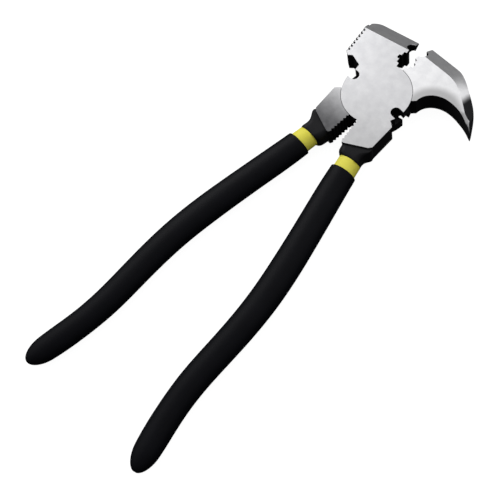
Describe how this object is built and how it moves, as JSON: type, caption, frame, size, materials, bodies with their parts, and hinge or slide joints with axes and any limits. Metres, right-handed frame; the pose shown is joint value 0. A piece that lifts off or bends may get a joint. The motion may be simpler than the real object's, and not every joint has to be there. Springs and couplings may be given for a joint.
{
  "type": "fencing pliers",
  "caption": "Fencing pliers: two forged steel levers riveted at a lap joint, with a hammer face, a curved staple claw, side wire cutters and black-over-yellow vinyl grips.",
  "frame": {"origin": "centre of the pivot rivet, at the level of the back faces", "axes": "+Y from the pivot to the head, -Y along the handles, +Z along the pivot out of the front face, +X towards the claw"},
  "size_m": [0.0983, 0.2643, 0.0128],
  "materials": {
    "forged_steel": "ground bright on the flat faces, black oxide on the forged sides",
    "rivet_steel": "ground flush with the joint",
    "yellow_vinyl": "satin dipped vinyl",
    "black_vinyl": "satin dipped vinyl"
  },
  "bodies": {
    "hammer_side": {"hammer_lever": "forged_steel", "pivot_rivet": "rivet_steel", "right_inner_sleeve": "yellow_vinyl", "right_grip": "black_vinyl"},
    "claw_side": {"claw_lever": "forged_steel", "left_inner_sleeve": "yellow_vinyl", "left_grip": "black_vinyl"}
  },
  "joints": [
    {"name": "pivot", "type": "hinge", "parent": "hammer_side", "child": "claw_side", "pos_m": [0, 0, 0], "axis": [0, 0, 1], "range_deg": [-42, 11]}
  ]
}
